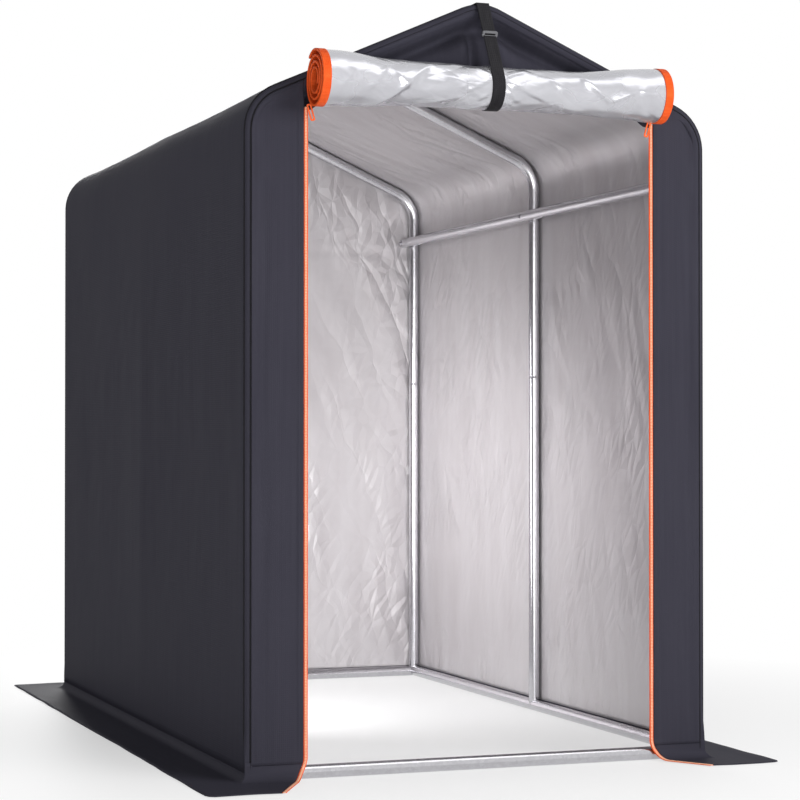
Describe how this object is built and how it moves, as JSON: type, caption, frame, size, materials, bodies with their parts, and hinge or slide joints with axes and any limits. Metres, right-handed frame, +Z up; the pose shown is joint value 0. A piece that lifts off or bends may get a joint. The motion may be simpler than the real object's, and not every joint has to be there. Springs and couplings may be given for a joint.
{
  "type": "bike shelter",
  "caption": "Gabled bike shelter: dark coated cloth over a tube frame, silver inside, with a zipped doorway, its door rolled up and strapped, and a ground skirt.",
  "frame": {"origin": "on the ground, under the middle of the shelter with its skirt", "axes": "+Z up, +Y from the doorway to the rear wall, +X to the right as seen from in front of the doorway"},
  "size_m": [1.72, 2.72, 2.1665],
  "materials": {
    "cover_cloth": "charcoal coated polyester cloth, satin",
    "silver_lining": "silver-coated inside of the cloth, crinkled",
    "zip_tape": "orange zip tape and binding",
    "pull_plastic": "moulded orange zip pull",
    "steel_tube": "galvanised round tube",
    "webbing": "black woven webbing",
    "buckle_plastic": "dark grey moulded slider"
  },
  "bodies": {
    "root": {"base_rail_front": "steel_tube", "base_rail_left": "steel_tube", "base_rail_rear": "steel_tube", "base_rail_right": "steel_tube", "door_roll": "silver_lining", "door_strap": "webbing", "front_gable": "cover_cloth", "front_left_flap": "cover_cloth", "front_left_panel": "cover_cloth", "front_left_post": "steel_tube", "front_left_rafter": "steel_tube", "front_peak_fitting": "steel_tube", "front_right_flap": "cover_cloth", "front_right_panel": "cover_cloth", "front_right_post": "steel_tube", "front_right_rafter": "steel_tube", "left_eave_rail": "steel_tube", "left_roll_binding": "zip_tape", "left_skirt": "cover_cloth", "left_wall": "cover_cloth", "left_zip": "zip_tape", "left_zip_pull": "pull_plastic", "middle_left_post": "steel_tube", "middle_left_rafter": "steel_tube", "middle_peak_fitting": "steel_tube", "middle_right_post": "steel_tube", "middle_right_rafter": "steel_tube", "rear_left_post": "steel_tube", "rear_left_rafter": "steel_tube", "rear_peak_fitting": "steel_tube", "rear_right_post": "steel_tube", "rear_right_rafter": "steel_tube", "rear_skirt": "cover_cloth", "rear_wall": "cover_cloth", "ridge_rail_front": "steel_tube", "ridge_rail_rear": "steel_tube", "right_eave_rail": "steel_tube", "right_roll_binding": "zip_tape", "right_skirt": "cover_cloth", "right_wall": "cover_cloth", "right_zip": "zip_tape", "right_zip_pull": "pull_plastic", "roof_left": "cover_cloth", "roof_right": "cover_cloth", "strap_buckle": "buckle_plastic"}
  },
  "joints": []
}
